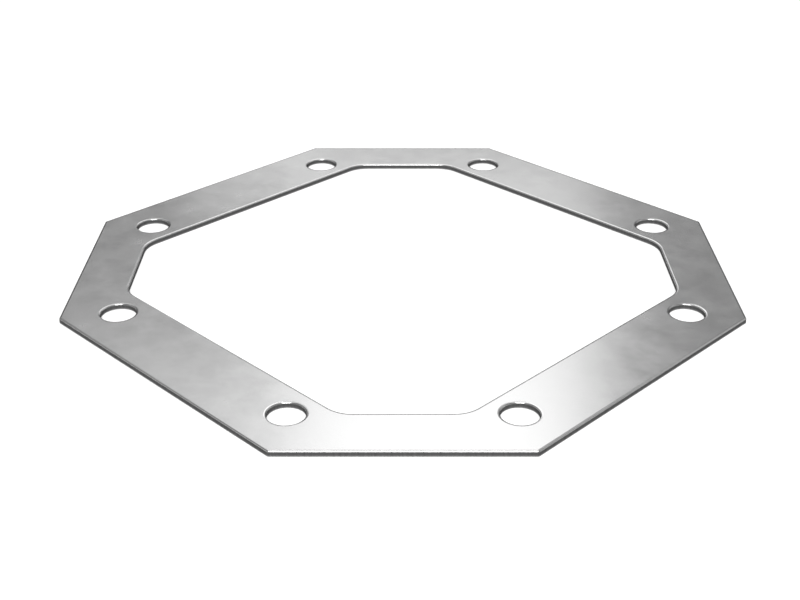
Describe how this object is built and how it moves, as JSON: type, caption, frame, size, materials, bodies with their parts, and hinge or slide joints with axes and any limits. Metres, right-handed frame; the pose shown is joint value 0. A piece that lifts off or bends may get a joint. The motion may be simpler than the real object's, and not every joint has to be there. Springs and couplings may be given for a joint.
{
  "type": "plate gasket",
  "caption": "Flat octagonal sheet-steel gasket, a square with cut corners, with a large opening of the same outline and bolt holes in pairs along its four long sides.",
  "frame": {"origin": "middle of the plate, on its underside", "axes": "+Z out of the top face, square to the sheet; X and Y parallel to the long sides"},
  "size_m": [0.2, 0.2, 0.0018],
  "materials": {
    "sheet_steel": "smooth cold-rolled sheet steel with a satin shine"
  },
  "bodies": {
    "root": {"gasket_plate": "sheet_steel"}
  },
  "joints": []
}
